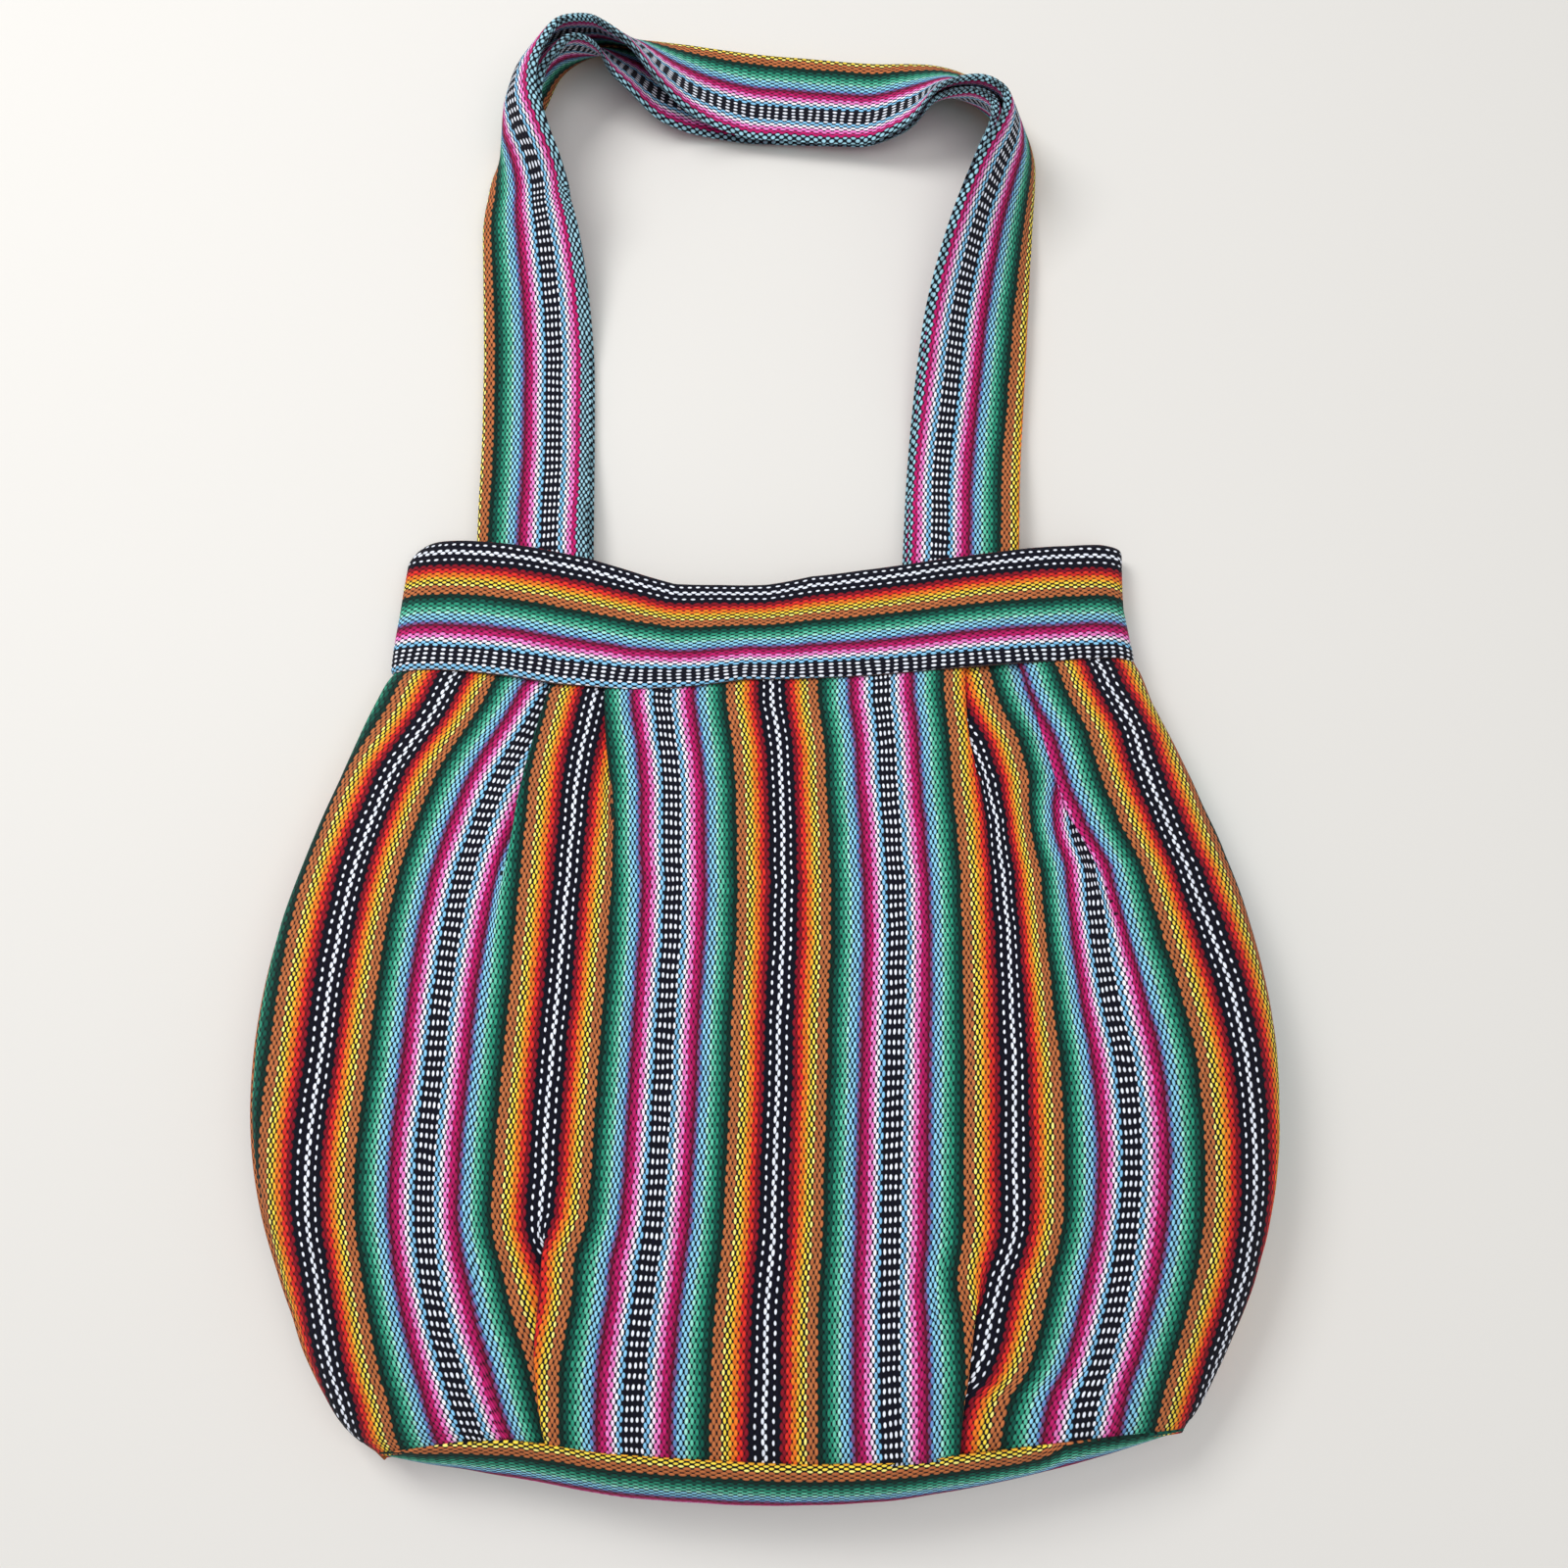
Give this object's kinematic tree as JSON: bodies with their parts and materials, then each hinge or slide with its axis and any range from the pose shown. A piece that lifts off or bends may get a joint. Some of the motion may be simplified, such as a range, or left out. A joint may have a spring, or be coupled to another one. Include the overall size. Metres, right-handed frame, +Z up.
{
  "type": "shoulder bag",
  "caption": "Soft pleated shoulder bag of striped hand-woven cloth with a folded band at the mouth and flat cloth handles, lying on its back.",
  "frame": {"origin": "centre of the bag's outline from above, at the height of the table that it lies on", "axes": "+X across the bag to the right of someone who looks down on its front with the handles at the top, +Y from the base to the handles, +Z up from the table, out of the bag's front"},
  "size_m": [0.3586, 0.5708, 0.048],
  "materials": {
    "panel_cloth": "matte warp-faced weave, stripes run from mouth to base",
    "base_cloth": "matte warp-faced weave, stripes run from side to side",
    "band_cloth": "matte warp-faced weave, stripes run round the mouth",
    "handle_cloth": "matte warp-faced weave, stripes run along the handle"
  },
  "bodies": {
    "root": {"front_panel": "panel_cloth", "back_panel": "panel_cloth", "base_strip": "base_cloth", "front_band": "band_cloth", "back_band": "band_cloth", "front_handle": "handle_cloth", "back_handle": "handle_cloth"}
  },
  "joints": []
}
